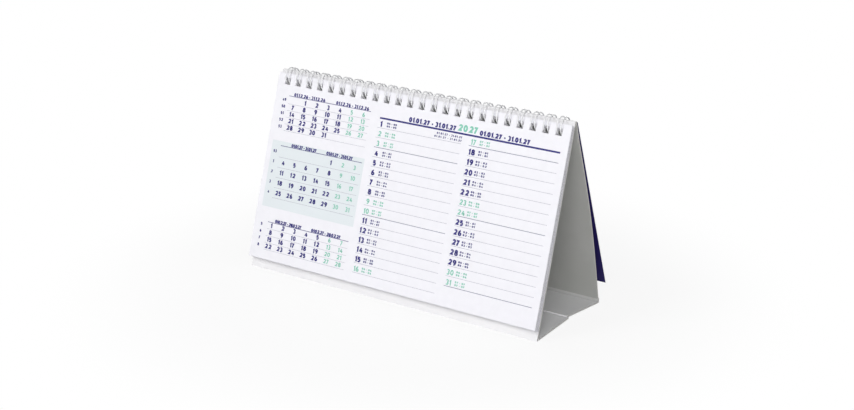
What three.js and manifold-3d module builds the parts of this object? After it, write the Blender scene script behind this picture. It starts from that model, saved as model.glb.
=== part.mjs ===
// Monthly desk calendar: a folded board easel, a twin-loop wire comb,
// twelve month sheets hanging on its front and a cover sheet turned to its back.
// Millimetres, +Z up, +X to the viewer's right, -Y towards the viewer.
// The origin lies on the table under the middle of the whole object's outline.

import * as THREE from "three";
import Module from "manifold-3d";
import { mergeVertices } from "three/addons/utils/BufferGeometryUtils.js";

// Board stand
const STAND_WIDTH = 210;
const STAND_DEPTH = 72.4;
const RIDGE_HEIGHT = 120.6;
const BOARD = 1.0;
const RIDGE_INNER_RADIUS = 0.2;
const BACK_BOW = 2.6;
const REAR_STRIP_HEIGHT = 3.0;
const FOLD_GAP = 0.3;
const FLAP_GAP = 0.85;
const NOSE_STEPS = 16;
const BOW_START = 12;
const BOW_STEPS = 10;
const BASE_RISE = 1.9;
const BASE_LAP = 1.7;

// Sheets
const SHEET_SIDE_INSET = 0;
const SHEET_HEIGHT = 116.9;
const SHEET = 0.12;
const SHEET_COUNT = 12;
const SHEET_GAP = 0.09;
const FIRST_SHEET_GAP = 0.25;
const PAD_TO_BOARD_GAP = 0.15;
const SHEET_LEAN_DEG = 0.07;
const SHEET_STAGGER = 0.09;
const PAGE_TOP_DROP = 1.33;
const COVER_TOP_DROP = 0.2;
const COVER = 0.3;
const COVER_LEAN_DEG = 4.66;
const COVER_TO_BOARD_GAP = 0.3;

// Holes
const PITCH = 25.4 / 3;
const LEAST_END_MARGIN = 7;
const HOLE_WIDTH = 4.2;
const HOLE_HEIGHT = 4.2;
const HOLE_TO_EDGE = 4.8;
const BOARD_HOLE_DROP = 7.6;
const PUNCH_OVERRUN = 1;

// Twin-loop wire comb
const WIRE = 0.8;
const LOOP_RADIUS = 5.3;
const LOOP_DROP = 2.7;
const TWIN_SPACING = 2.6;
const WIRE_BEND = 0.7;
const WIRE_END_STRAIGHT = 1.3;
const LOOP_STEPS = 14;
const TIP_STEPS = 4;
const BEND_STEPS = 2;
const WIRE_SIDES = 5;
const SEAM_ANGLE_DEG = 262;
const SEAM_GAP = 0.55;
const GAP_SAMPLE_STEP = 0.3;
const GAP_SAME_BEND_LENGTH = 4;

const WHITE_BOARD = { color: 0xeeedf3, roughness: 0.85, metalness: 0 };
const WHITE_PAPER = { color: 0xf4f3f9, roughness: 0.8, metalness: 0 };
const NAVY_CARD = { color: 0x1b1440, roughness: 0.55, metalness: 0 };
const WHITE_WIRE = { color: 0xe6e6ea, roughness: 0.35, metalness: 0.2 };

const wasm = await Module();
wasm.setup();

// The fold at the ridge turns about this line; both panels' faces are set off from it.
const ridgeOuterRadius = RIDGE_INNER_RADIUS + BOARD;
const ridgeZ = RIDGE_HEIGHT - ridgeOuterRadius;
const halfDepth = STAND_DEPTH / 2;
const tilt = Math.atan2(halfDepth, ridgeZ) - Math.asin(ridgeOuterRadius / Math.hypot(halfDepth, ridgeZ));
const panelLength = Math.sqrt(halfDepth ** 2 + ridgeZ ** 2 - ridgeOuterRadius ** 2);
const degrees = Math.PI / 180;
const sheetWidth = STAND_WIDTH - 2 * SHEET_SIDE_INSET;
const holeCount = Math.floor((STAND_WIDTH - 2 * LEAST_END_MARGIN) / PITCH) + 1;

// A panel's own axes in the side view: down its slope, and out of its outer face.
function panelAxes(side, lean = 0) {
  const angle = tilt + lean;
  return {
    down: new THREE.Vector2(side * Math.sin(angle), -Math.cos(angle)),
    out: new THREE.Vector2(side * Math.cos(angle), Math.sin(angle)),
  };
}

const FRONT = panelAxes(-1);
const BACK = panelAxes(1);
const RIDGE = new THREE.Vector2(0, ridgeZ);

// A side-view point given by its distance down a slope and its height off it.
function onSlope(axes, down, out, origin = RIDGE) {
  return new THREE.Vector2(
    origin.x + axes.down.x * down + axes.out.x * out,
    origin.y + axes.down.y * down + axes.out.y * out,
  );
}

const loopCentre = onSlope(FRONT, LOOP_DROP, 0);

function material(look) {
  return new THREE.MeshStandardMaterial(look);
}

// An outline in the side view (y, z) drawn out along X, centred on X = 0.
function extrudeProfile(points, width) {
  const shape = new THREE.Shape(points);
  const geometry = new THREE.ExtrudeGeometry(shape, { depth: width, bevelEnabled: false });
  geometry.translate(0, 0, -width / 2);
  const turn = new THREE.Matrix4().set(0, 0, 1, 0, 1, 0, 0, 0, 0, 1, 0, 0, 0, 0, 0, 1);
  return geometry.applyMatrix4(turn);
}

function toManifold(geometry) {
  const bare = geometry.clone();
  bare.deleteAttribute("normal");
  bare.deleteAttribute("uv");
  const merged = mergeVertices(bare, 1e-4);
  return new wasm.Manifold(new wasm.Mesh({
    numProp: 3,
    vertProperties: new Float32Array(merged.attributes.position.array),
    triVerts: new Uint32Array(merged.index.array),
  }));
}

function fromManifold(solid) {
  const mesh = solid.getMesh();
  const geometry = new THREE.BufferGeometry();
  geometry.setAttribute("position", new THREE.BufferAttribute(mesh.vertProperties, 3));
  geometry.setIndex(new THREE.BufferAttribute(mesh.triVerts, 1));
  geometry.computeVertexNormals();
  return geometry;
}

// A flat sheet lying in X and Y with its top edge at Y = 0, punched with the row of holes.
function punchedSheet(width, height, thickness, holeDrop) {
  const blank = new THREE.BoxGeometry(width, height, thickness);
  blank.translate(0, -height / 2, thickness / 2);
  let solid = toManifold(blank);
  for (let i = 0; i < holeCount; i += 1) {
    const bar = new THREE.BoxGeometry(HOLE_WIDTH, HOLE_HEIGHT, thickness + 2 * PUNCH_OVERRUN);
    bar.translate(holeX(i), -holeDrop, 0);
    solid = solid.subtract(toManifold(bar));
  }
  return fromManifold(solid);
}

function holeX(index) {
  return (index - (holeCount - 1) / 2) * PITCH;
}

// Places a sheet drawn by punchedSheet: its top edge at a side-view point, its face outward.
function placeSheet(mesh, top, axes) {
  const right = new THREE.Vector3(-Math.sign(axes.out.x), 0, 0);
  const up = new THREE.Vector3(0, -axes.down.x, -axes.down.y);
  const out = new THREE.Vector3(0, axes.out.x, axes.out.y);
  mesh.quaternion.setFromRotationMatrix(new THREE.Matrix4().makeBasis(right, up, out));
  mesh.position.set(0, top.x, top.y);
  return mesh;
}

// Bars that punch the board's holes, square to its slope.
function holeBars(axes) {
  const bars = [];
  const depth = BOARD + 2 * (BACK_BOW + PUNCH_OVERRUN);
  for (let i = 0; i < holeCount; i += 1) {
    const bar = new THREE.BoxGeometry(HOLE_WIDTH, HOLE_HEIGHT, depth);
    const holder = new THREE.Mesh(bar);
    placeSheet(holder, onSlope(axes, BOARD_HOLE_DROP, RIDGE_INNER_RADIUS + BOARD / 2), axes);
    holder.position.x = holeX(i);
    holder.updateMatrixWorld();
    bars.push(toManifold(bar.applyMatrix4(holder.matrixWorld)));
  }
  return bars;
}

function punchBoard(geometry, axes) {
  let solid = toManifold(geometry);
  for (const bar of holeBars(axes)) {
    solid = solid.subtract(bar);
  }
  return fromManifold(solid);
}

// Front panel: a flat board whose top end rolls right over the ridge as a rounded nose.
function frontPanel() {
  const noseStart = Math.sqrt(ridgeOuterRadius ** 2 - RIDGE_INNER_RADIUS ** 2);
  const outwardAngle = Math.PI - tilt;
  const from = outwardAngle + Math.acos(RIDGE_INNER_RADIUS / ridgeOuterRadius);
  const to = outwardAngle + 2 * Math.PI;
  const points = [
    onSlope(FRONT, panelLength, ridgeOuterRadius),
    onSlope(FRONT, panelLength - BOARD * Math.tan(tilt), RIDGE_INNER_RADIUS),
    onSlope(FRONT, noseStart, RIDGE_INNER_RADIUS),
  ];
  for (let i = 1; i < NOSE_STEPS; i += 1) {
    const angle = from + ((to - from) * i) / NOSE_STEPS;
    points.push(new THREE.Vector2(
      ridgeOuterRadius * Math.cos(angle),
      ridgeZ + ridgeOuterRadius * Math.sin(angle),
    ));
  }
  return punchBoard(extrudeProfile(points, STAND_WIDTH), FRONT);
}

// How far the back panel bows out of its plane at a distance down its slope.
function bowAt(down) {
  const end = panelLength - REAR_STRIP_HEIGHT;
  const share = Math.max(0, (down - BOW_START) / (end - BOW_START));
  return BACK_BOW * Math.sin(Math.PI * share);
}

// Back panel: bowed outward, so its lower edge stands steeper than its middle.
function backPanel() {
  const top = ridgeOuterRadius + FOLD_GAP;
  const bottom = panelLength - (REAR_STRIP_HEIGHT + FOLD_GAP) / Math.cos(tilt);
  const downs = [top];
  for (let i = 0; i <= BOW_STEPS; i += 1) {
    downs.push(BOW_START + ((bottom - BOW_START) * i) / BOW_STEPS);
  }
  const inner = downs.map((down) => onSlope(BACK, down, RIDGE_INNER_RADIUS + bowAt(down)));
  const outer = downs.map((down) => onSlope(BACK, down, ridgeOuterRadius + bowAt(down)));
  return punchBoard(extrudeProfile([...inner, ...outer.reverse()], STAND_WIDTH), BACK);
}

// The narrow strip between the two creases of the rear bottom fold.
function rearFoldStrip() {
  const outerY = halfDepth;
  return extrudeProfile([
    new THREE.Vector2(outerY - BOARD, 0),
    new THREE.Vector2(outerY, 0),
    new THREE.Vector2(outerY, REAR_STRIP_HEIGHT),
    new THREE.Vector2(outerY - BOARD, REAR_STRIP_HEIGHT),
  ], STAND_WIDTH);
}

// A slab of board between two side-view points on its lower face.
function boardBetween(start, end) {
  const along = end.clone().sub(start).normalize();
  const up = new THREE.Vector2(-along.y, along.x).multiplyScalar(BOARD * Math.sign(along.x));
  return extrudeProfile([start, end, end.clone().add(up), start.clone().add(up)], STAND_WIDTH);
}

const frontInnerFoot = onSlope(FRONT, panelLength - BOARD * Math.tan(tilt), RIDGE_INNER_RADIUS);
const frontFlapStart = new THREE.Vector2(frontInnerFoot.x + BOARD * Math.tan(tilt) + FLAP_GAP, 0);
const rearFlapStart = new THREE.Vector2(halfDepth - BOARD - FLAP_GAP, 0);

// Front half of the base: rises from the front fold to the crease in the middle.
function baseFrontFlap() {
  return boardBetween(frontFlapStart, new THREE.Vector2(-FOLD_GAP, BASE_RISE));
}

// Rear half of the base: its edge laps on top of the front half.
function baseRearFlap() {
  const lapStart = -FOLD_GAP - BASE_LAP;
  const slope = BASE_RISE / (-FOLD_GAP - frontFlapStart.x);
  const frontTop = BASE_RISE + BOARD / Math.cos(Math.atan(slope));
  return boardBetween(rearFlapStart, new THREE.Vector2(lapStart, frontTop + FOLD_GAP));
}

function sheetHeightOff(number) {
  const fromBoard = SHEET_COUNT - number;
  const extra = number === 1 ? FIRST_SHEET_GAP - SHEET_GAP : 0;
  return ridgeOuterRadius + PAD_TO_BOARD_GAP + fromBoard * (SHEET + SHEET_GAP) + extra;
}

const monthBlank = punchedSheet(sheetWidth, SHEET_HEIGHT, SHEET, HOLE_TO_EDGE);

function monthSheet(number) {
  const lean = (SHEET_COUNT + 1 - number) * SHEET_LEAN_DEG * degrees;
  const drop = PAGE_TOP_DROP + (number - 1) * SHEET_STAGGER;
  const mesh = new THREE.Mesh(monthBlank, material(WHITE_PAPER));
  const top = onSlope(FRONT, drop, sheetHeightOff(number));
  return placeSheet(mesh, top, panelAxes(-1, lean));
}

function coverSheet() {
  const geometry = punchedSheet(sheetWidth, SHEET_HEIGHT, COVER, HOLE_TO_EDGE);
  const mesh = new THREE.Mesh(geometry, material(NAVY_CARD));
  const top = onSlope(BACK, COVER_TOP_DROP, ridgeOuterRadius + COVER_TO_BOARD_GAP);
  return placeSheet(mesh, top, panelAxes(1, COVER_LEAN_DEG * degrees));
}

// The wire's path is drawn on the loops' cylinder: x along it, and the arc round it
// counted from the seam, over the front and the ridge, to the tips behind the seam.
const loopGirth = 2 * Math.PI * LOOP_RADIUS;
const tipArc = loopGirth - WIRE - SEAM_GAP;
const halfTwin = TWIN_SPACING / 2;

function arcPoints(centreX, centreArc, radius, fromDeg, toDeg, steps) {
  const points = [];
  for (let i = 0; i <= steps; i += 1) {
    const angle = (fromDeg + ((toDeg - fromDeg) * i) / steps) * degrees;
    points.push([centreX + radius * Math.cos(angle), centreArc + radius * Math.sin(angle)]);
  }
  return points;
}

function straightPoints(x, fromArc, toArc, steps) {
  const points = [];
  for (let i = 1; i < steps; i += 1) {
    points.push([x, fromArc + ((toArc - fromArc) * i) / steps]);
  }
  return points;
}

function oneTwinLoop(index) {
  const x = holeX(index);
  const rise = tipArc - halfTwin;
  return [
    ...arcPoints(x - halfTwin - WIRE_BEND, WIRE_BEND, WIRE_BEND, -90, 0, BEND_STEPS),
    ...straightPoints(x - halfTwin, WIRE_BEND, rise, LOOP_STEPS),
    ...arcPoints(x, rise, halfTwin, 180, 0, TIP_STEPS),
    ...straightPoints(x + halfTwin, rise, WIRE_BEND, LOOP_STEPS),
    ...arcPoints(x + halfTwin + WIRE_BEND, WIRE_BEND, WIRE_BEND, 180, 270, BEND_STEPS),
  ];
}

function combPath() {
  const flat = [];
  const end = halfTwin + WIRE_BEND + WIRE_END_STRAIGHT;
  flat.push([holeX(0) - end, 0]);
  for (let i = 0; i < holeCount; i += 1) {
    flat.push(...oneTwinLoop(i));
  }
  flat.push([holeX(holeCount - 1) + end, 0]);
  return flat.map(([x, arc]) => onCylinder(x, arc, LOOP_RADIUS));
}

function onCylinder(x, arc, radius) {
  const angle = SEAM_ANGLE_DEG * degrees - arc / LOOP_RADIUS;
  return new THREE.Vector3(
    x,
    loopCentre.x + radius * Math.cos(angle),
    loopCentre.y + radius * Math.sin(angle),
  );
}

// The direction away from the loops' axis at a point of the path.
function awayFromAxis(point) {
  return new THREE.Vector3(0, point.y - loopCentre.x, point.z - loopCentre.y).normalize();
}

// One unbroken tube along the path, closed at both ends.
function tubeAlong(path) {
  const positions = [];
  const indices = [];
  path.forEach((point, i) => {
    const before = path[Math.max(0, i - 1)];
    const after = path[Math.min(path.length - 1, i + 1)];
    const ahead = after.clone().sub(before).normalize();
    const away = awayFromAxis(point);
    const across = new THREE.Vector3().crossVectors(ahead, away).normalize();
    const outward = new THREE.Vector3().crossVectors(across, ahead).normalize();
    for (let side = 0; side < WIRE_SIDES; side += 1) {
      const angle = (2 * Math.PI * side) / WIRE_SIDES;
      const ring = point.clone();
      ring.addScaledVector(outward, (WIRE / 2) * Math.cos(angle));
      ring.addScaledVector(across, (WIRE / 2) * Math.sin(angle));
      positions.push(ring.x, ring.y, ring.z);
    }
  });
  const last = (path.length - 1) * WIRE_SIDES;
  for (let i = 0; i < path.length - 1; i += 1) {
    for (let side = 0; side < WIRE_SIDES; side += 1) {
      const next = (side + 1) % WIRE_SIDES;
      const a = i * WIRE_SIDES + side;
      const b = i * WIRE_SIDES + next;
      indices.push(a, b, a + WIRE_SIDES, b, b + WIRE_SIDES, a + WIRE_SIDES);
    }
  }
  for (let side = 1; side < WIRE_SIDES - 1; side += 1) {
    indices.push(0, side + 1, side);
    indices.push(last, last + side, last + side + 1);
  }
  const geometry = new THREE.BufferGeometry();
  geometry.setAttribute("position", new THREE.Float32BufferAttribute(positions, 3));
  geometry.setIndex(indices);
  geometry.computeVertexNormals();
  return geometry;
}

// The least gap between stretches of the wire that lie apart along its length.
function leastGapToItself(path) {
  const samples = [];
  let length = 0;
  for (let i = 0; i < path.length - 1; i += 1) {
    const step = path[i].distanceTo(path[i + 1]);
    const parts = Math.ceil(step / GAP_SAMPLE_STEP);
    for (let k = 0; k < parts; k += 1) {
      const at = path[i].clone().lerp(path[i + 1], k / parts);
      samples.push({ at, length: length + (step * k) / parts });
    }
    length += step;
  }
  let least = Infinity;
  for (let i = 0; i < samples.length; i += 1) {
    for (let j = i + 1; j < samples.length; j += 1) {
      const along = samples[j].length - samples[i].length;
      if (along > GAP_SAME_BEND_LENGTH) {
        least = Math.min(least, samples[i].at.distanceTo(samples[j].at));
      }
    }
  }
  return least - WIRE;
}

const group = new THREE.Group();

function addPiece(name, geometry, look) {
  const mesh = new THREE.Mesh(geometry, material(look));
  mesh.name = name;
  group.add(mesh);
}

addPiece("stand_front_panel", frontPanel(), WHITE_BOARD);
addPiece("stand_back_panel", backPanel(), WHITE_BOARD);
addPiece("rear_fold_strip", rearFoldStrip(), WHITE_BOARD);
addPiece("base_front_flap", baseFrontFlap(), WHITE_BOARD);
addPiece("base_rear_flap", baseRearFlap(), WHITE_BOARD);

const comb = combPath();
console.log(`least gap of the wire to itself: ${leastGapToItself(comb).toFixed(2)} mm`);
addPiece("binding_wire", tubeAlong(comb), WHITE_WIRE);

for (let number = 1; number <= SHEET_COUNT; number += 1) {
  const sheet = monthSheet(number);
  sheet.name = `month_sheet_${String(number).padStart(2, "0")}`;
  group.add(sheet);
}

const cover = coverSheet();
cover.name = "cover_sheet";
group.add(cover);

// Brings the middle of the whole outline over the origin, front to back.
const outline = new THREE.Box3().setFromObject(group, true);
const middleY = (outline.min.y + outline.max.y) / 2;
for (const piece of group.children) {
  piece.position.y -= middleY;
}

export default group;
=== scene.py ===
"""Looks of the monthly desk calendar: paper, board, coated wire and plain numerals.

Sizes are written in millimetres and turned into metres by MM. The axes are the CAD's:
+X to the right as the pages are read, -Y towards the reader, +Z up.
"""
import math

import bpy
from mathutils import Matrix, Vector

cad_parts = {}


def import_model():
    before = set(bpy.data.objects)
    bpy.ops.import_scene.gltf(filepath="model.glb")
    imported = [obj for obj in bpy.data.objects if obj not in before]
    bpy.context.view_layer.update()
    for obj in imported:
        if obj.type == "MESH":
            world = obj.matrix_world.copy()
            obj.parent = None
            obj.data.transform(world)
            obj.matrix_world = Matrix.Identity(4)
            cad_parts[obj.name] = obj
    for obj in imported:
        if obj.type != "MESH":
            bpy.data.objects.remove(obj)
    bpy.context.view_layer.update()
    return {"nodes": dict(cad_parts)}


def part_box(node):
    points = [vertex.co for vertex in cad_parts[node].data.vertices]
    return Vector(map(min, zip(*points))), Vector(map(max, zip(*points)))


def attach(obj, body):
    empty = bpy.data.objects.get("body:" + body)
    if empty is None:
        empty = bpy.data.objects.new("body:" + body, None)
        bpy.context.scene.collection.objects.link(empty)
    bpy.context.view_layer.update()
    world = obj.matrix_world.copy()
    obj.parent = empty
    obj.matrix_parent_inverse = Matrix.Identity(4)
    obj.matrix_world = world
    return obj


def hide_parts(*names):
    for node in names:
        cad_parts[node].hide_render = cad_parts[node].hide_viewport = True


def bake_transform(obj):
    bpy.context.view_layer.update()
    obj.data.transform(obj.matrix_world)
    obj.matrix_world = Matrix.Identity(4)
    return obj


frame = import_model()

MM = 0.001

# Sizes that the CAD source also holds
RIDGE_HEIGHT = 120.6
BOARD = 1.0
RIDGE_INNER_RADIUS = 0.2
STAND_DEPTH = 72.4
STAND_WIDTH = 210
FOLD_GAP = 0.3
FLAP_GAP = 0.85
SHEET_COUNT = 12
SHEET = 0.12
SHEET_GAP = 0.09
FIRST_SHEET_GAP = 0.25
PAD_TO_BOARD_GAP = 0.15
SHEET_LEAN_DEG = 0.07
SHEET_STAGGER = 0.09
PAGE_TOP_DROP = 1.33
PITCH = 25.4 / 3
HOLE_COUNT = 24
WIRE = 0.8
LOOP_RADIUS = 5.3
LOOP_DROP = 2.7
TWIN_SPACING = 2.6
WIRE_BEND = 0.7
WIRE_END_STRAIGHT = 1.3
SEAM_ANGLE_DEG = 262
SEAM_GAP = 0.55

ridge_radius = RIDGE_INNER_RADIUS + BOARD
ridge_z = RIDGE_HEIGHT - ridge_radius
half_depth = STAND_DEPTH / 2
tilt = math.atan2(half_depth, ridge_z) - math.asin(ridge_radius / math.hypot(half_depth, ridge_z))
shift_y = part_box("stand_front_panel")[0].y / MM + half_depth


def slope_axes(side, lean=0.0):
    """The directions down a slope and out of its face, as (y, z)."""
    angle = tilt + lean
    down = Vector((side * math.sin(angle), -math.cos(angle)))
    out = Vector((side * math.cos(angle), math.sin(angle)))
    return down, out


def on_slope(side, down, out):
    """A side-view point (y, z) in mm, by its distance down a slope and its height off it."""
    d, o = slope_axes(side)
    return Vector((shift_y, ridge_z)) + d * down + o * out


# Materials

# Colours are linear RGB, as the darker and the lighter end of a mottled surface
LAMINATE = ((0.85, 0.845, 0.86), (0.88, 0.875, 0.885))
# The inside faces of the one board in three tones by which way they face: painted shade on the panels,
# lighter painted shade on the strip, painted light on the base
PANEL_PAINTED_SHADE = ((0.47, 0.475, 0.455), (0.505, 0.505, 0.49))
STRIP_PAINTED_SHADE = ((0.66, 0.66, 0.65), (0.70, 0.70, 0.69))
BASE_PAINTED_LIGHT = ((0.88, 0.88, 0.89), (0.91, 0.91, 0.915))
BOARD_CORE = ((0.48, 0.47, 0.455), (0.62, 0.61, 0.595))
PAGE_FACE = ((0.885, 0.88, 0.925), (0.905, 0.90, 0.945))
# The pages' cut ends: a fibre mottle in a grey well below the paper's own white, painted shade of the
# stacked edge
PAGE_EDGE_PAINTED_SHADE = ((0.40, 0.405, 0.43), (0.57, 0.57, 0.59))
CARD_FACE = ((0.0145, 0.0078, 0.092), (0.017, 0.0092, 0.104))
CARD_EDGE = ((0.10, 0.095, 0.16), (0.30, 0.29, 0.36))
CARD_RUBBED = (0.05, 0.042, 0.12)
WIRE_COAT = ((0.83, 0.835, 0.85), (0.89, 0.895, 0.905))
BLACK_TO_WHITE = ((0, 0, 0), (1, 1, 1))

# Where a noise turns from the one colour to the other
MOTTLE_AT = (0.35, 0.65)
SPECKS_AT = (0.70, 0.80)

# Noise, as features per metre and layers of detail
BOARD_CLOUDS = (45, 4)
BOARD_FIBRES = (900, 5)
BOARD_GRAIN = (2600, 3)
PAPER_CLOUDS = (260, 5)
PAPER_TOOTH = (3800, 4)
CUT_FIBRES = (1500, 2)
CARD_CLOUDS = (120, 5)
CARD_SPECKS = (1900, 2)
CARD_GRAIN = (2200, 3)
WIRE_PATCHES = (420, 4)
WIRE_GRAIN = (2400, 2)
EVEN = (1, 1, 1)
FLAT_FIBRES = (1, 1, 6)

# Roughness, from the smoothest to the roughest spot
BOARD_ROUGHNESS = (0.42, 0.6)
PAPER_ROUGHNESS = (0.72, 0.9)
CARD_ROUGHNESS = (0.52, 0.68)
WIRE_ROUGHNESS = (0.22, 0.38)
INK_ROUGHNESS = (0.52, 0.68)
TINT_ROUGHNESS = (0.70, 0.86)

# Relief, as bump strength and depth
BOARD_WAVES = (0.25, 0.4 * MM)
BOARD_RELIEF = (0.12, 0.03 * MM)
PAPER_RELIEF = (0.18, 0.03 * MM)
CARD_RELIEF = (0.12, 0.03 * MM)
WIRE_RELIEF = (0.1, 0.02 * MM)

CARD_SPECULAR = 0.16
WIRE_GLOSS = 0.1
WIRE_GLOSS_ROUGHNESS = 0.25

# A face is a cut end when its normal's X and its place along X are both beyond these
SIDEWAYS = 0.9
CUT_END = STAND_WIDTH / 2 - 0.5

# A face of the board's inside gets its painted shade or painted light when its normal leans this far
# towards the inside of the strip
PAINTED_TONE_LEAN = 0.1
DOWN = (0, 0, -1)
UP = (0, 0, 1)
TO_READER = (0, -1, 0)

# Colour sockets of the mix node
MIX_A, MIX_B, MIX_RESULT = 6, 7, 2


def node(tree, kind, **values):
    made = tree.nodes.new(kind)
    for key, value in values.items():
        setattr(made, key, value)
    return made


def noise(tree, texture, stretch=EVEN):
    """Noise over the object's own coordinates, from a pair of scale and detail."""
    coords = node(tree, "ShaderNodeTexCoord")
    mapping = node(tree, "ShaderNodeMapping")
    mapping.inputs["Scale"].default_value = stretch
    made = node(tree, "ShaderNodeTexNoise")
    made.inputs["Scale"].default_value, made.inputs["Detail"].default_value = texture
    tree.links.new(coords.outputs["Object"], mapping.inputs["Vector"])
    tree.links.new(mapping.outputs["Vector"], made.inputs["Vector"])
    return made.outputs["Fac"]


def ramp(tree, value, colours, at=MOTTLE_AT):
    made = node(tree, "ShaderNodeValToRGB")
    for element, colour, position in zip(made.color_ramp.elements, colours, at):
        element.position = position
        element.color = (*colour, 1)
    tree.links.new(value, made.inputs["Fac"])
    return made.outputs["Color"]


def mix(tree, factor, first, second):
    made = node(tree, "ShaderNodeMix", data_type="RGBA")
    tree.links.new(factor, made.inputs["Factor"])
    for socket, value in ((made.inputs[MIX_A], first), (made.inputs[MIX_B], second)):
        if isinstance(value, tuple):
            socket.default_value = (*value, 1)
        else:
            tree.links.new(value, socket)
    return made.outputs[MIX_RESULT]


def bump(tree, shader, layers):
    """Stacks bump layers: (height, strength, depth)."""
    previous = None
    for height, strength, depth in layers:
        made = node(tree, "ShaderNodeBump")
        made.inputs["Strength"].default_value = strength
        made.inputs["Distance"].default_value = depth
        tree.links.new(height, made.inputs["Height"])
        if previous is not None:
            tree.links.new(previous, made.inputs["Normal"])
        previous = made.outputs["Normal"]
    tree.links.new(previous, shader.inputs["Normal"])


def new_material(name):
    material = bpy.data.materials.new(name)
    material.use_nodes = True
    return material, material.node_tree, material.node_tree.nodes["Principled BSDF"]


def x_beyond(tree, vector, limit):
    """1 where the size of a vector's X is over the limit."""
    parts = node(tree, "ShaderNodeSeparateXYZ")
    size = node(tree, "ShaderNodeMath", operation="ABSOLUTE")
    above = node(tree, "ShaderNodeMath", operation="GREATER_THAN")
    above.inputs[1].default_value = limit
    tree.links.new(vector, parts.inputs[0])
    tree.links.new(parts.outputs["X"], size.inputs[0])
    tree.links.new(size.outputs[0], above.inputs[0])
    return above.outputs[0]


def side_mask(tree):
    """1 on the two cut ends of boards and sheets, but not on the walls of the wire holes."""
    geometry = node(tree, "ShaderNodeNewGeometry")
    both = node(tree, "ShaderNodeMath", operation="MULTIPLY")
    facing = x_beyond(tree, geometry.outputs["Normal"], SIDEWAYS)
    at_end = x_beyond(tree, geometry.outputs["Position"], CUT_END * MM)
    tree.links.new(facing, both.inputs[0])
    tree.links.new(at_end, both.inputs[1])
    return both.outputs[0]


def lining_mask(tree, inward):
    """1 on faces whose own normal leans towards the inward direction, where the painted shade or
    painted light goes.
    """
    coords = node(tree, "ShaderNodeTexCoord")
    lean = node(tree, "ShaderNodeVectorMath", operation="DOT_PRODUCT")
    lean.inputs[1].default_value = inward
    above = node(tree, "ShaderNodeMath", operation="GREATER_THAN")
    above.inputs[1].default_value = PAINTED_TONE_LEAN
    tree.links.new(coords.outputs["Normal"], lean.inputs[0])
    tree.links.new(lean.outputs["Value"], above.inputs[0])
    return above.outputs[0]


def roughness_from(tree, shader, value, limits):
    spread = node(tree, "ShaderNodeMapRange")
    spread.inputs["To Min"].default_value, spread.inputs["To Max"].default_value = limits
    tree.links.new(value, spread.inputs["Value"])
    tree.links.new(spread.outputs[0], shader.inputs["Roughness"])


def board_material(name, inward=None, painted_tone=None):
    """White laminate outside; inside faces leaning the inward way take a second tone, painted shade or
    painted light for the light inside the folded stand; the core shows where it is cut.
    """
    material, tree, shader = new_material(name)
    clouds = noise(tree, BOARD_CLOUDS)
    face = ramp(tree, clouds, LAMINATE)
    # The inward-leaning faces take the painted shade or painted light in place of the laminate
    if inward:
        face = mix(tree, lining_mask(tree, inward), face, ramp(tree, clouds, painted_tone))
    core = ramp(tree, noise(tree, BOARD_FIBRES, FLAT_FIBRES), BOARD_CORE)
    tree.links.new(mix(tree, side_mask(tree), face, core), shader.inputs["Base Color"])
    grain = noise(tree, BOARD_GRAIN)
    roughness_from(tree, shader, grain, BOARD_ROUGHNESS)
    bump(tree, shader, [(clouds, *BOARD_WAVES), (grain, *BOARD_RELIEF)])
    return material


def paper_material():
    """Uncoated page paper: cloudy formation, fine tooth, and cut ends painted grey as painted shade of
    the stacked edge.
    """
    material, tree, shader = new_material("page_paper")
    face = ramp(tree, noise(tree, PAPER_CLOUDS), PAGE_FACE)
    # The cut ends' grey is painted shade over a fibre mottle
    edge = ramp(tree, noise(tree, CUT_FIBRES), PAGE_EDGE_PAINTED_SHADE)
    tree.links.new(mix(tree, side_mask(tree), face, edge), shader.inputs["Base Color"])
    tooth = noise(tree, PAPER_TOOTH)
    roughness_from(tree, shader, tooth, PAPER_ROUGHNESS)
    bump(tree, shader, [(tooth, *PAPER_RELIEF)])
    return material


def card_material():
    """Navy printed card: dull varnish, faint rubbed specks, white fibre at the cut edge."""
    material, tree, shader = new_material("navy_card")
    face = ramp(tree, noise(tree, CARD_CLOUDS), CARD_FACE)
    specks = ramp(tree, noise(tree, CARD_SPECKS), BLACK_TO_WHITE, SPECKS_AT)
    worn = mix(tree, specks, face, CARD_RUBBED)
    edge = ramp(tree, noise(tree, CUT_FIBRES), CARD_EDGE)
    tree.links.new(mix(tree, side_mask(tree), worn, edge), shader.inputs["Base Color"])
    grain = noise(tree, CARD_GRAIN)
    roughness_from(tree, shader, grain, CARD_ROUGHNESS)
    shader.inputs["Specular IOR Level"].default_value = CARD_SPECULAR
    bump(tree, shader, [(grain, *CARD_RELIEF)])
    return material


def wire_material():
    """White nylon coat over the wire, a little thinner and greyer in patches."""
    material, tree, shader = new_material("coated_wire")
    coat = ramp(tree, noise(tree, WIRE_PATCHES), WIRE_COAT)
    tree.links.new(coat, shader.inputs["Base Color"])
    grain = noise(tree, WIRE_GRAIN)
    roughness_from(tree, shader, grain, WIRE_ROUGHNESS)
    shader.inputs["Coat Weight"].default_value = WIRE_GLOSS
    shader.inputs["Coat Roughness"].default_value = WIRE_GLOSS_ROUGHNESS
    bump(tree, shader, [(grain, *WIRE_RELIEF)])
    return material


def ink_material(name, colours, roughness=INK_ROUGHNESS):
    """Printed ink: its colour breaks up a little over the paper's tooth."""
    material, tree, shader = new_material(name)
    tooth = noise(tree, PAPER_TOOTH)
    tree.links.new(ramp(tree, tooth, colours), shader.inputs["Base Color"])
    roughness_from(tree, shader, tooth, roughness)
    bump(tree, shader, [(tooth, *PAPER_RELIEF)])
    return material


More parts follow.
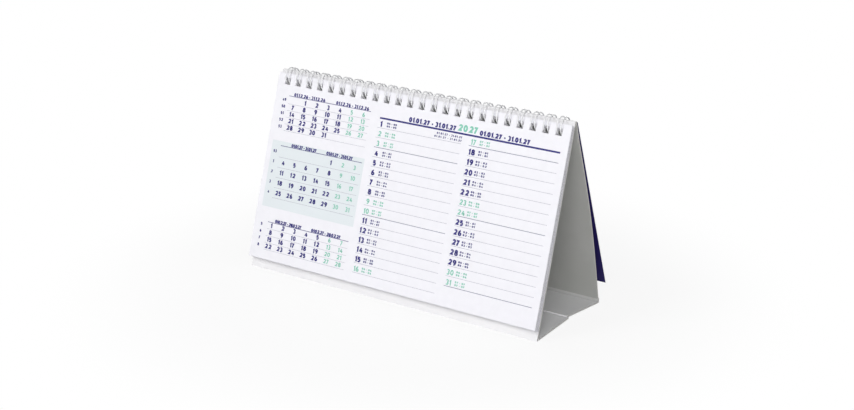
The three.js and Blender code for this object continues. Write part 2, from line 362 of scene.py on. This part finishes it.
WHITE_BOARD = board_material("white_board")
# Board copies with painted shade on the panels' and the strip's inside faces and painted light on the
# base's
PANEL_BOARD = board_material("panel_board_painted_shade", DOWN, PANEL_PAINTED_SHADE)
STRIP_BOARD = board_material("strip_board_painted_shade", TO_READER, STRIP_PAINTED_SHADE)
BASE_BOARD = board_material("base_board_painted_light", UP, BASE_PAINTED_LIGHT)
PAPER = paper_material()
NAVY_CARD = card_material()
COATED_WIRE = wire_material()
NAVY_INK = ink_material("navy_ink", ((0.010, 0.006, 0.14), (0.019, 0.013, 0.20)))
TEAL_INK = ink_material("teal_ink", ((0.19, 0.53, 0.41), (0.25, 0.61, 0.48)))
GREY_INK = ink_material("grey_ink", ((0.30, 0.30, 0.38), (0.40, 0.40, 0.48)))
DARK_RULE_INK = ink_material("dark_rule_ink", ((0.085, 0.085, 0.19), (0.14, 0.14, 0.27)))
PALE_TEAL = ink_material(
    "pale_teal_tint", ((0.76, 0.81, 0.84), (0.785, 0.835, 0.86)), TINT_ROUGHNESS,
)


# Meshes

def mesh_object(name, vertices, faces, material, smooth=False):
    mesh = bpy.data.meshes.new(name)
    mesh.from_pydata([tuple(v) for v in vertices], [], faces)
    mesh.materials.append(material)
    mesh.polygons.foreach_set("use_smooth", [smooth] * len(mesh.polygons))
    mesh.update()
    made = bpy.data.objects.new(name, mesh)
    bpy.context.scene.collection.objects.link(made)
    return made


def arc(centre_x, centre_y, radius_x, radius_y, start, end, steps):
    """Points along an arc, from one angle in degrees to another."""
    points = []
    for i in range(steps + 1):
        angle = math.radians(start + (end - start) * i / steps)
        points.append((centre_x + radius_x * math.cos(angle), centre_y + radius_y * math.sin(angle)))
    return points


# Wire comb: drawn flat as (x, along) with its loops side by side, then wrapped on a cylinder

WIRE_SIDES = 12
LOOP_STEPS = 30
TIP_STEPS = 10
BEND_STEPS = 5

loop_centre = on_slope(-1, LOOP_DROP, 0)
tip_along = 2 * math.pi * LOOP_RADIUS - WIRE - SEAM_GAP
half_twin = TWIN_SPACING / 2


def hole_x(index):
    return (index - (HOLE_COUNT - 1) / 2) * PITCH


def straight_points(x, start, end, steps):
    return [(x, start + (end - start) * i / steps) for i in range(1, steps)]


def twin_loop(index):
    x = hole_x(index)
    rise = tip_along - half_twin
    bend = WIRE_BEND
    return (
        arc(x - half_twin - bend, bend, bend, bend, -90, 0, BEND_STEPS)
        + straight_points(x - half_twin, bend, rise, LOOP_STEPS)
        + arc(x, rise, half_twin, half_twin, 180, 0, TIP_STEPS)
        + straight_points(x + half_twin, rise, bend, LOOP_STEPS)
        + arc(x + half_twin + bend, bend, bend, bend, 180, 270, BEND_STEPS)
    )


def on_cylinder(x, along):
    angle = math.radians(SEAM_ANGLE_DEG) - along / LOOP_RADIUS
    return Vector((
        x,
        loop_centre.x + LOOP_RADIUS * math.cos(angle),
        loop_centre.y + LOOP_RADIUS * math.sin(angle),
    ))


def comb_path():
    end = half_twin + WIRE_BEND + WIRE_END_STRAIGHT
    flat = [(hole_x(0) - end, 0)]
    for i in range(HOLE_COUNT):
        flat += twin_loop(i)
    flat.append((hole_x(HOLE_COUNT - 1) + end, 0))
    return [on_cylinder(x, along) for x, along in flat]


def wire_tube(name, path):
    """One round tube along the path, closed flat at both ends."""
    vertices = []
    faces = []
    last = len(path) - 1
    for i, point in enumerate(path):
        ahead = (path[min(i + 1, last)] - path[max(i - 1, 0)]).normalized()
        away = Vector((0, point.y - loop_centre.x, point.z - loop_centre.y)).normalized()
        across = ahead.cross(away).normalized()
        outward = across.cross(ahead).normalized()
        for side in range(WIRE_SIDES):
            angle = 2 * math.pi * side / WIRE_SIDES
            offset = outward * math.cos(angle) + across * math.sin(angle)
            vertices.append((point + offset * (WIRE / 2)) * MM)
    for i in range(last):
        for side in range(WIRE_SIDES):
            a = i * WIRE_SIDES + side
            b = i * WIRE_SIDES + (side + 1) % WIRE_SIDES
            faces.append((a, b, b + WIRE_SIDES, a + WIRE_SIDES))
    faces.append(tuple(reversed(range(WIRE_SIDES))))
    faces.append(tuple(last * WIRE_SIDES + side for side in range(WIRE_SIDES)))
    return mesh_object(name, vertices, faces, COATED_WIRE, smooth=True)


wire = wire_tube("wire_comb", comb_path())
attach(wire, "stand_front")
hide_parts("binding_wire")


# Creases: a thin skin of laminate across each fold of the board

SKIN = 0.03
SKIN_LIFT = 0.005
SKIN_SIDE_IN = 0.02

# Over the ridge: how far it reaches down the front, how it turns into the crease behind, and where
# the bend begins and ends, measured back from the ridge's axis
RIDGE_SKIN_REACH = 3.2
RIDGE_SKIN_STEPS = 22
CREASE_DEG = 60
CREASE_LIP = 0.06

# Under the foot: its start inside the panel, its end past the gap, its height at the start, middle
# and end, and how far outside its start the bend begins
FOOT_SKIN_IN = 0.15
FOOT_SKIN_PAST = 0.9
FOOT_SKIN_RISE = (0.02, 0.035, 0.11)


def skin_strip(name, outline):
    """A thin strip along X over side-view points, closed, SKIN thick towards its right."""
    half = STAND_WIDTH / 2 - SKIN_SIDE_IN
    count = len(outline)
    inner = []
    for i, point in enumerate(outline):
        ahead = (outline[min(i + 1, count - 1)] - outline[max(i - 1, 0)]).normalized()
        inner.append(point + Vector((ahead.y, -ahead.x)) * SKIN)
    ring = list(outline) + inner[::-1]
    vertices = [Vector((x, p.x, p.y)) * MM for x in (-half, half) for p in ring]
    size = len(ring)
    faces = []
    for i in range(size):
        j = (i + 1) % size
        faces.append((i, j, size + j, size + i))
    for i in range(count - 1):
        a, b, c, d = i, i + 1, size - 2 - i, size - 1 - i
        faces.append((d, c, b, a))
        faces.append((size + a, size + b, size + c, size + d))
    return mesh_object(name, vertices, faces, WHITE_BOARD)


def ridge_skin():
    """Over the rounded ridge, down into the crease behind it and up the back panel's top edge."""
    radius = ridge_radius + SKIN + SKIN_LIFT
    crease_end = ridge_radius + FOLD_GAP - SKIN - SKIN_LIFT
    start = math.pi - tilt
    end = tilt - math.radians(CREASE_DEG)
    points = [on_slope(-1, RIDGE_SKIN_REACH, radius)]
    for i in range(RIDGE_SKIN_STEPS + 1):
        angle = start + (end - start) * i / RIDGE_SKIN_STEPS
        points.append(Vector((shift_y + radius * math.cos(angle), ridge_z + radius * math.sin(angle))))
    points.append(on_slope(1, crease_end, radius * math.cos(math.radians(CREASE_DEG))))
    points.append(on_slope(1, crease_end, ridge_radius - CREASE_LIP))
    made = skin_strip("ridge_fold_skin", points)
    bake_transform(made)


def foot_skin(name, side):
    """The lower laminate that runs on across a bottom fold."""
    foot = shift_y + side * (half_depth - BOARD - FOOT_SKIN_IN)
    flap = foot - side * (FLAP_GAP + FOOT_SKIN_PAST)
    places = (foot, (foot + flap) / 2, flap)
    outline = [Vector((y, rise + SKIN)) for y, rise in zip(places, FOOT_SKIN_RISE)]
    if side > 0:
        outline = outline[::-1]
    made = skin_strip(name, outline)
    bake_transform(made)


ridge_skin()
foot_skin("front_fold_skin", -1)
foot_skin("rear_fold_skin", 1)


# Print: everything lies on a page's own plane, u to the right and v down from its top edge

PRINT_LIFT = {"tint": 0.012, "rule": 0.022, "figure": 0.03}

# Figures, as shares of their height: strokes, space, width against the drawn one, and spacing
LIGHT_STROKE = 0.205
FIGURE_STROKE = 0.285
BOLD_STROKE = 0.33
SPACE_WIDTH = 0.3
FIGURE_WIDEN = 1.08
SPREAD_WIDEN = 1.1
FIGURE_SPACING = 0.12

# A mitre reaches no further than a half stroke over this; a line whose ends meet is closed
MITRE_LIMIT = 0.45
SAME_POINT = 1e-6


def page_plane(number):
    """A matrix from page millimetres (u, v, height) to the scene's metres, for one month's sheet."""
    lean = math.radians((SHEET_COUNT + 1 - number) * SHEET_LEAN_DEG)
    extra = FIRST_SHEET_GAP - SHEET_GAP if number == 1 else 0
    height = ridge_radius + PAD_TO_BOARD_GAP + (SHEET_COUNT - number) * (SHEET + SHEET_GAP) + extra
    top = on_slope(-1, PAGE_TOP_DROP + (number - 1) * SHEET_STAGGER, height)
    down, out = slope_axes(-1, lean)
    face = Vector((top.x, top.y)) + out * SHEET
    return Matrix((
        (MM, 0, 0, 0),
        (0, down.x * MM, out.x * MM, face.x * MM),
        (0, down.y * MM, out.y * MM, face.y * MM),
        (0, 0, 0, 1),
    ))


# Each figure's strokes as centre lines, 1 high and about half as wide, y up from its foot
LOW, HIGH = FIGURE_STROKE / 2, 1 - FIGURE_STROKE / 2
FIGURES = {
    "0": [arc(0.30, 0.5, 0.22, 0.39, 90, 450, 24)],
    "1": [[(0.04, 0.72), (0.24, HIGH), (0.24, 0)]],
    "2": [arc(0.26, 0.66, 0.20, 0.23, 165, -20, 10) + [(0.08, LOW), (0.52, LOW)]],
    "3": [arc(0.24, 0.70, 0.18, 0.21, 150, -90, 12), arc(0.24, 0.29, 0.20, 0.20, 90, -150, 12)],
    "4": [[(0.30, HIGH), (0.07, 0.30), (0.54, 0.30)], [(0.39, 0.56), (0.39, 0)]],
    "5": [[(0.46, HIGH), (0.12, HIGH), (0.11, 0.54)] + arc(0.24, 0.33, 0.21, 0.24, 110, -145, 12)],
    "6": [arc(0.29, 0.30, 0.21, 0.20, 90, 450, 20), arc(0.49, 0.30, 0.41, 0.62, 98, 178, 8)],
    "7": [[(0.05, HIGH), (0.45, HIGH), (0.19, 0)]],
    "8": [arc(0.28, 0.71, 0.18, 0.19, -90, 270, 18), arc(0.28, 0.30, 0.22, 0.20, 90, 450, 20)],
    "9": [arc(0.27, 0.70, 0.21, 0.20, 90, 450, 20), arc(0.07, 0.70, 0.41, 0.62, -82, -2, 8)],
    ".": [[(0.03, LOW), (0.17, LOW)]],
    "-": [[(0.04, 0.40), (0.34, 0.40)]],
}


def stroke(line, width):
    """A flat band along a centre line, mitred at its corners, as points and quads."""
    closed = math.dist(line[0], line[-1]) < SAME_POINT
    if closed:
        line = line[:-1]
    count = len(line)
    points = []
    for i, (x, y) in enumerate(line):
        before = line[i - 1] if (closed or i > 0) else line[i]
        after = line[(i + 1) % count] if (closed or i < count - 1) else line[i]
        into = Vector((x - before[0], y - before[1]))
        onward = Vector((after[0] - x, after[1] - y))
        into = into.normalized() if into.length else onward.normalized()
        onward = onward.normalized() if onward.length else into
        normal = Vector((-(into.y + onward.y), into.x + onward.x)).normalized()
        reach = width / 2 / max(MITRE_LIMIT, normal.dot(Vector((-into.y, into.x))))
        points.append((x + normal.x * reach, y + normal.y * reach))
        points.append((x - normal.x * reach, y - normal.y * reach))
    faces = []
    for i in range(count if closed else count - 1):
        j = (i + 1) % count
        faces.append((2 * i, 2 * i + 1, 2 * j + 1, 2 * j))
    return points, faces


def digit_shapes(weight):
    """Flat outlines of the figures, as (points, faces, width) at height 1."""
    shapes = {}
    for character, lines in FIGURES.items():
        points, faces = [], []
        for line in lines:
            band, quads = stroke(line, weight)
            faces += [tuple(len(points) + i for i in quad) for quad in quads]
            points += band
        left = min(x for x, _ in points)
        right = max(x for x, _ in points)
        shapes[character] = ([(x - left, y) for x, y in points], faces, right - left)
    return shapes


LIGHT_DIGITS = digit_shapes(LIGHT_STROKE)
PLAIN_DIGITS = digit_shapes(FIGURE_STROKE)
BOLD_DIGITS = digit_shapes(BOLD_STROKE)


def figure_widths(text, digits, widen):
    """How wide each character is at height 1."""
    return [(digits[c][2] if c != " " else SPACE_WIDTH) * widen for c in text]


class Sheet:
    """Collects flat shapes for one page, by ink, and turns each ink into one object."""

    def __init__(self, number):
        self.number = number
        self.plane = page_plane(number)
        self.inks = {}

    def add(self, ink, layer, points, faces):
        vertices, polygons = self.inks.setdefault(ink, ([], []))
        start = len(vertices)
        vertices += [self.plane @ Vector((u, v, PRINT_LIFT[layer])) for u, v in points]
        polygons += [tuple(start + i for i in face) for face in faces]

    def bar(self, ink, layer, left, top, right, bottom):
        corners = [(left, top), (left, bottom), (right, bottom), (right, top)]
        self.add(ink, layer, corners, [(0, 1, 2, 3)])

    def rule(self, ink, left, right, v, thickness):
        self.bar(ink, "rule", left, v - thickness / 2, right, v + thickness / 2)

    def number_at(
        self, ink, text, u, v, height,
        widen=FIGURE_WIDEN, spacing=FIGURE_SPACING, digits=PLAIN_DIGITS,
    ):
        """Plain figures centred on (u, v)."""
        widths = figure_widths(text, digits, widen)
        left = u - (sum(widths) + spacing * (len(text) - 1)) * height / 2
        for character, width in zip(text, widths):
            if character != " ":
                points, faces, _ = digits[character]
                placed = [(left + x * widen * height, v + height / 2 - y * height) for x, y in points]
                self.add(ink, "figure", placed, [face[::-1] for face in faces])
            left += (width + spacing) * height

    def day_number(self, weekend, day, u, v, height):
        """A day's figures: bolder navy on weekdays, lighter teal at the weekend."""
        ink, digits = (TEAL, LIGHT_DIGITS) if weekend else (NAVY, PLAIN_DIGITS)
        self.number_at(ink, str(day), u, v, height, digits=digits)

    def number_between(self, ink, text, left, right, v, height):
        """Bold figures spread evenly from left to right."""
        widths = figure_widths(text, BOLD_DIGITS, SPREAD_WIDEN)
        spacing = ((right - left) / height - sum(widths)) / (len(text) - 1)
        middle = (left + right) / 2
        self.number_at(ink, text, middle, v, height, SPREAD_WIDEN, spacing, BOLD_DIGITS)

    def finish(self):
        for (label, material), (vertices, faces) in self.inks.items():
            made = mesh_object(f"print_{self.number:02d}_{label}", vertices, faces, material)
            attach(made, f"sheet_{self.number:02d}")


NAVY = ("navy", NAVY_INK)
TEAL = ("teal", TEAL_INK)
LIGHT_RULE = ("light_rules", GREY_INK)
DARK_RULE = ("dark_rules", DARK_RULE_INK)
TINT = ("tint", PALE_TEAL)

DAYS_IN_MONTH = (31, 28, 31, 30, 31, 30, 31, 31, 30, 31, 30, 31)
DAYS_IN_WEEK = 7
WEEKS_IN_YEAR = 52
WEEKS_LAST_YEAR = 53
YEAR = 2027

# Weekdays count from Monday as 0
FIRST_WEEKDAY = 4
SATURDAY = 5
SUNDAY = 6

# Header: one thick rule, the month's dates on both sides of the year, and two lines of small
# dates below, each given by its left end and its v
HEADER_RULE_V = 16.2
HEADER_RULE_ENDS = (-23.9, 100.5)
HEADER_RULE = 1.05
HEADER_V = 13.8
HEADER_NAMES = ((-3.1, 30.4), (46.7, 80.5))
HEADER_FIGURE = 2.75
YEAR_PLACE = (38.3, 12.9)
YEAR_FIGURE = 3.9
NOTE_LINES = ((17.8, 18.4), (16.4, 20.4))
NOTE_RIGHT = 35.5
NOTE_FIGURE = 1.15

# Day list: each column's day number, and the ends of its rules
LIST_COLUMNS = ((-22.2, -24.7, 35.5), (43.6, 40.8, 100.5))
ROWS_LEFT = 16
ROW_PITCH = 5.9
WEEK_RULE = 0.3
DAY_RULE = 0.19
DAY_FIGURE = 3.3
DAY_DROP = 0.55

# Weekday marks: two small rows beside each day number
MARK_OFFSET = 7.7
MARK_RISE = 0.15
MARK_ROW = 1.7
MARK_FIGURE = 1.1
MARK_WIDEN = 1.4
MARK_SPACING = 0.2

# Small months: the one before, the page's own on its tint, and the one after. Each has room for
# five rows of days at its full pitch, and a sixth row draws them closer together.
SMALL_RULE_ENDS = (-94.3, -31.2)
SMALL_HEADER_RULE = 0.35
SMALL_RULE = 0.16
SMALL_RULE_DROP = 0.1
SMALL_ROWS = 5
SMALL_FIGURE = 2.85
WEEK_FIGURE = 1.75
WEEK_WIDEN = 1.0
NAME_FIGURE = 2.0
NAME_RISE = 1.3
SMALL_MONTHS = (
    {
        "month": -1, "rule": 13.6, "first": 16.3, "pitch": 4.22,
        "week_u": -97.6, "day_u": -90.0, "step": 9.0,
        "names": ((-90.6, -66.2), (-57.8, -32.8)),
    },
    {
        "month": 0, "rule": 45.0, "first": 48.9, "pitch": 6.44,
        "week_u": -98.1, "day_u": -90.3, "step": 9.05,
        "names": ((-86.1, -66.3), (-58.7, -38.5)),
    },
    {
        "month": 1, "rule": 93.4, "first": 95.4, "pitch": 4.38,
        "week_u": -99.0, "day_u": -91.0, "step": 9.15,
        "names": ((-88.9, -67.9), (-60.2, -37.5)),
    },
)

# Left, top, right and bottom
TINT_BOX = (-101.2, 42.2, -29.7, 84.1)


def days_before(month):
    """Days from the first of month 1 to the first of the given month, which may be 0 or 13."""
    if month < 1:
        return -DAYS_IN_MONTH[-1]
    return sum(DAYS_IN_MONTH[:month - 1])


def days_in(month):
    return DAYS_IN_MONTH[(month - 1) % len(DAYS_IN_MONTH)]


def weekday(month, day):
    return (FIRST_WEEKDAY + days_before(month) + day - 1) % DAYS_IN_WEEK


def month_span(month):
    """A month's first and last dates, as day.month.year."""
    years, index = divmod(month - 1, len(DAYS_IN_MONTH))
    ending = f"{index + 1:02d}.{(YEAR + years) % 100:02d}"
    return f"01.{ending} - {days_in(month)}.{ending}"


def week_number(month, row):
    """The week of a small month's row; the year's first days end the last week of the year before."""
    monday = days_before(month) + FIRST_WEEKDAY - weekday(month, 1) + row * DAYS_IN_WEEK
    week = monday // DAYS_IN_WEEK
    if week < 1:
        return WEEKS_LAST_YEAR + week
    return (week - 1) % WEEKS_IN_YEAR + 1


def draw_small_month(sheet, month, block):
    sheet.rule(NAVY, *SMALL_RULE_ENDS, block["rule"], SMALL_HEADER_RULE)
    for left, right in block["names"]:
        name_v = block["rule"] - NAME_RISE
        sheet.number_between(NAVY, month_span(month), left, right, name_v, NAME_FIGURE)
    first = weekday(month, 1)
    rows = math.ceil((first + days_in(month)) / DAYS_IN_WEEK)
    pitch = block["pitch"] * min(1, (SMALL_ROWS - 1) / (rows - 1))
    for row in range(rows):
        v = block["first"] + row * pitch
        week = str(week_number(month, row))
        sheet.number_at(
            NAVY, week, block["week_u"], v, WEEK_FIGURE, WEEK_WIDEN, digits=BOLD_DIGITS,
        )
        sheet.rule(LIGHT_RULE, *SMALL_RULE_ENDS, v + pitch / 2 + SMALL_RULE_DROP, SMALL_RULE)
    for day in range(1, days_in(month) + 1):
        row, column = divmod(first + day - 1, DAYS_IN_WEEK)
        u = block["day_u"] + column * block["step"]
        v = block["first"] + row * pitch
        sheet.day_number(column >= SATURDAY, day, u, v, SMALL_FIGURE)


def draw_day(sheet, month, day):
    column, row = divmod(day - 1, ROWS_LEFT)
    number_u, left, right = LIST_COLUMNS[column]
    today = weekday(month, day)
    weekend = today >= SATURDAY
    line_v = HEADER_RULE_V + ROW_PITCH * (row + 1)
    v = line_v - ROW_PITCH / 2 + DAY_DROP
    sheet.day_number(weekend, day, number_u, v, DAY_FIGURE)
    mark = f"{today + 1:02d} - {today + 1:02d}"
    for level in (-1, 1):
        sheet.number_at(
            TEAL if weekend else NAVY, mark,
            number_u + MARK_OFFSET, v - MARK_RISE + level * MARK_ROW / 2,
            MARK_FIGURE, MARK_WIDEN, MARK_SPACING, BOLD_DIGITS,
        )
    if today == SUNDAY or day == days_in(month):
        sheet.rule(DARK_RULE, left, right, line_v, WEEK_RULE)
    else:
        sheet.rule(LIGHT_RULE, left, right, line_v, DAY_RULE)


def draw_page(number):
    sheet = Sheet(number)
    sheet.bar(TINT, "tint", *TINT_BOX)
    for block in SMALL_MONTHS:
        draw_small_month(sheet, number + block["month"], block)
    span = month_span(number)
    sheet.rule(NAVY, *HEADER_RULE_ENDS, HEADER_RULE_V, HEADER_RULE)
    for left, right in HEADER_NAMES:
        sheet.number_between(NAVY, span, left, right, HEADER_V, HEADER_FIGURE)
    sheet.number_at(TEAL, str(YEAR), *YEAR_PLACE, YEAR_FIGURE)
    for left, v in NOTE_LINES:
        sheet.number_between(NAVY, span, left, NOTE_RIGHT, v, NOTE_FIGURE)
    for day in range(1, days_in(number) + 1):
        draw_day(sheet, number, day)
    sheet.finish()


for number in range(1, SHEET_COUNT + 1):
    draw_page(number)


# CAD nodes that stay and only get a better material

def dress(names, material):
    for name in names:
        mesh = frame["nodes"][name].data
        mesh.materials.clear()
        mesh.materials.append(material)


dress(("stand_front_panel", "stand_back_panel"), PANEL_BOARD)
dress(("base_front_flap", "base_rear_flap"), BASE_BOARD)
dress(["rear_fold_strip"], STRIP_BOARD)
dress([f"month_sheet_{number:02d}" for number in range(1, SHEET_COUNT + 1)], PAPER)
dress(["cover_sheet"], NAVY_CARD)


# Floor, light and camera: places in metres

WHITE = (1, 1, 1, 1)
FLOOR_HALF = 4
FLOOR_COLOUR = (0.93, 0.93, 0.93, 1)
FLOOR_ROUGHNESS = 0.9
FLOOR_SPECULAR = 0.1

# The floor's share of plain white close to the object, and where it fades to all white
WHITE_SHARE = 0.88
FADE_FROM = 0.12
FADE_TO = 0.24

# World's strength, then each lamp's place, target, width and power in watts
WORLD_LEVEL = 0.26
LAMPS = {
    "key": ((-0.7, -1.25, 1.25), (0, 0, 0.06), 0.8, 11.5),
    "fill": ((0.89, -1.37, 0.76), (0.05, 0, 0.04), 1.2, 13.5),
    "back": ((-0.4, 1.6, 0.35), (0, 0, 0.06), 1.0, 6),
}

# Camera, with its place in millimetres from the stand's middle
CAMERA_PLACE = (525.41, -759.10, 362.10)
CAMERA_LOOK = (-0.53613, 0.78135, -0.31945)
CAMERA_ROLL_DEG = 0.394
CAMERA_LENS = 67.78
CAMERA_SENSOR = 36
CLIP_START = 0.01


def seen_rays(tree):
    """1 for rays of the camera, of reflections and through glass; 0 for light that falls on things."""
    rays = node(tree, "ShaderNodeLightPath")
    total = rays.outputs["Is Camera Ray"]
    for kind in ("Is Glossy Ray", "Is Transmission Ray"):
        added = node(tree, "ShaderNodeMath", operation="ADD", use_clamp=True)
        tree.links.new(total, added.inputs[0])
        tree.links.new(rays.outputs[kind], added.inputs[1])
        total = added.outputs[0]
    return total


def blend_surface(tree, share, first, second, output):
    made = node(tree, "ShaderNodeMixShader")
    for i, source in enumerate((share, first, second)):
        tree.links.new(source, made.inputs[i])
    tree.links.new(made.outputs[0], tree.nodes[output].inputs["Surface"])


def floor():
    """A white floor that keeps the shadow near the object and fades to the backdrop's white."""
    material, tree, shader = new_material("floor_white")
    shader.inputs["Base Color"].default_value = FLOOR_COLOUR
    shader.inputs["Roughness"].default_value = FLOOR_ROUGHNESS
    shader.inputs["Specular IOR Level"].default_value = FLOOR_SPECULAR
    coords = node(tree, "ShaderNodeTexCoord")
    distance = node(tree, "ShaderNodeVectorMath", operation="LENGTH")
    fade = node(tree, "ShaderNodeMapRange", interpolation_type="SMOOTHSTEP")
    fade.inputs["From Min"].default_value = FADE_FROM
    fade.inputs["From Max"].default_value = FADE_TO
    fade.inputs["To Min"].default_value = WHITE_SHARE
    share = node(tree, "ShaderNodeMath", operation="MULTIPLY")
    glow = node(tree, "ShaderNodeEmission")
    tree.links.new(coords.outputs["Object"], distance.inputs[0])
    tree.links.new(distance.outputs["Value"], fade.inputs["Value"])
    tree.links.new(fade.outputs[0], share.inputs[0])
    tree.links.new(seen_rays(tree), share.inputs[1])
    blend_surface(tree, share.outputs[0], shader.outputs[0], glow.outputs[0], "Material Output")
    corners = [(x * FLOOR_HALF, y * FLOOR_HALF, 0) for x, y in ((-1, -1), (1, -1), (1, 1), (-1, 1))]
    made = mesh_object("floor", corners, [(0, 1, 2, 3)], material)


def world():
    """Soft grey light all round, seen as white by the camera and in reflections."""
    made = bpy.data.worlds.new("studio")
    bpy.context.scene.world = made
    made.use_nodes = True
    tree = made.node_tree
    lit = tree.nodes["Background"]
    lit.inputs["Color"].default_value = WHITE
    lit.inputs["Strength"].default_value = WORLD_LEVEL
    seen = node(tree, "ShaderNodeBackground")
    seen.inputs["Color"].default_value = WHITE
    blend_surface(tree, seen_rays(tree), lit.outputs[0], seen.outputs[0], "World Output")


def area_light(name, place, target, width, power):
    lamp = bpy.data.lights.new(name, "AREA")
    lamp.shape = "DISK"
    lamp.size = width
    lamp.energy = power
    made = bpy.data.objects.new(name, lamp)
    made.location = place
    aim = Vector(target) - Vector(place)
    made.rotation_euler = aim.to_track_quat("-Z", "Y").to_euler()
    bpy.context.scene.collection.objects.link(made)


def camera():
    """The photograph's viewpoint, fitted to the row of holes and the stand's corners."""
    look = Vector(CAMERA_LOOK).normalized()
    roll = math.radians(CAMERA_ROLL_DEG)
    right = look.cross(Vector(UP)).normalized()
    up = right.cross(look)
    across = right * math.cos(roll) + up * math.sin(roll)
    above = up * math.cos(roll) - right * math.sin(roll)
    place = (Vector(CAMERA_PLACE) + Vector((0, shift_y, 0))) * MM
    data = bpy.data.cameras.new("photo_camera")
    data.lens = CAMERA_LENS
    data.sensor_width = CAMERA_SENSOR
    data.clip_start = CLIP_START
    made = bpy.data.objects.new("photo_camera", data)
    basis = Matrix((across, above, -look)).transposed()
    made.matrix_world = Matrix.Translation(place) @ basis.to_4x4()
    bpy.context.scene.collection.objects.link(made)
    bpy.context.scene.camera = made


floor()
world()
for name, settings in LAMPS.items():
    area_light(name, *settings)
camera()
bpy.context.scene.view_settings.view_transform = "Standard"
